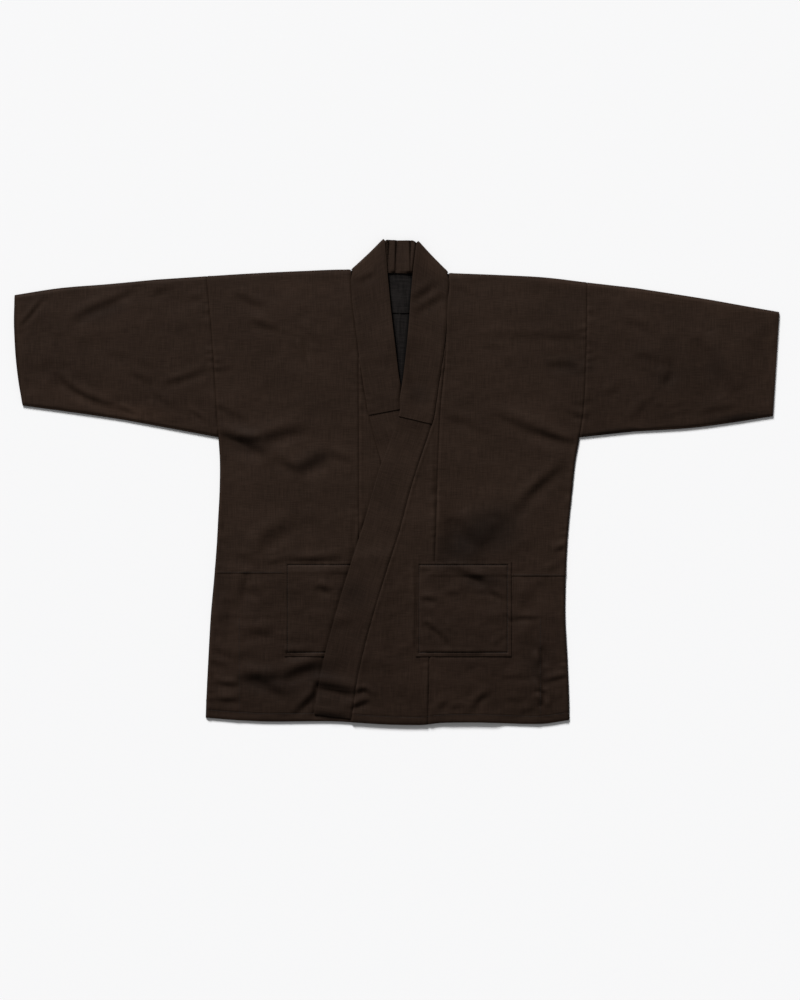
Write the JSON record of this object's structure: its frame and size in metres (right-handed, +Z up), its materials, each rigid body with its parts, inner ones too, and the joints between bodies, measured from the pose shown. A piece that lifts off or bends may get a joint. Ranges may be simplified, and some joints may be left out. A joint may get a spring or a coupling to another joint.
{
  "type": "kimono jacket laid flat",
  "caption": "Wrap-front kimono jacket laid flat, left front over right, with a long collar band, an over-collar, wide sleeves and patch pockets.",
  "frame": {"origin": "on the surface the jacket lies on, at the middle of its box", "axes": "+X towards the left sleeve's cuff, +Y towards the collar, +Z up out of the front"},
  "size_m": [1.262, 0.8016, 0.0117],
  "materials": {
    "cloth": "matt woven cotton with a light slub",
    "facing": "matt plain woven cotton"
  },
  "bodies": {
    "root": {"body_right": "cloth", "overlap_right": "cloth", "sleeve_right": "cloth", "pocket_right": "cloth", "body_left": "cloth", "overlap_left": "cloth", "sleeve_left": "cloth", "pocket_left": "cloth", "collar": "cloth", "over_collar": "cloth", "neck_facing": "facing"}
  },
  "joints": []
}
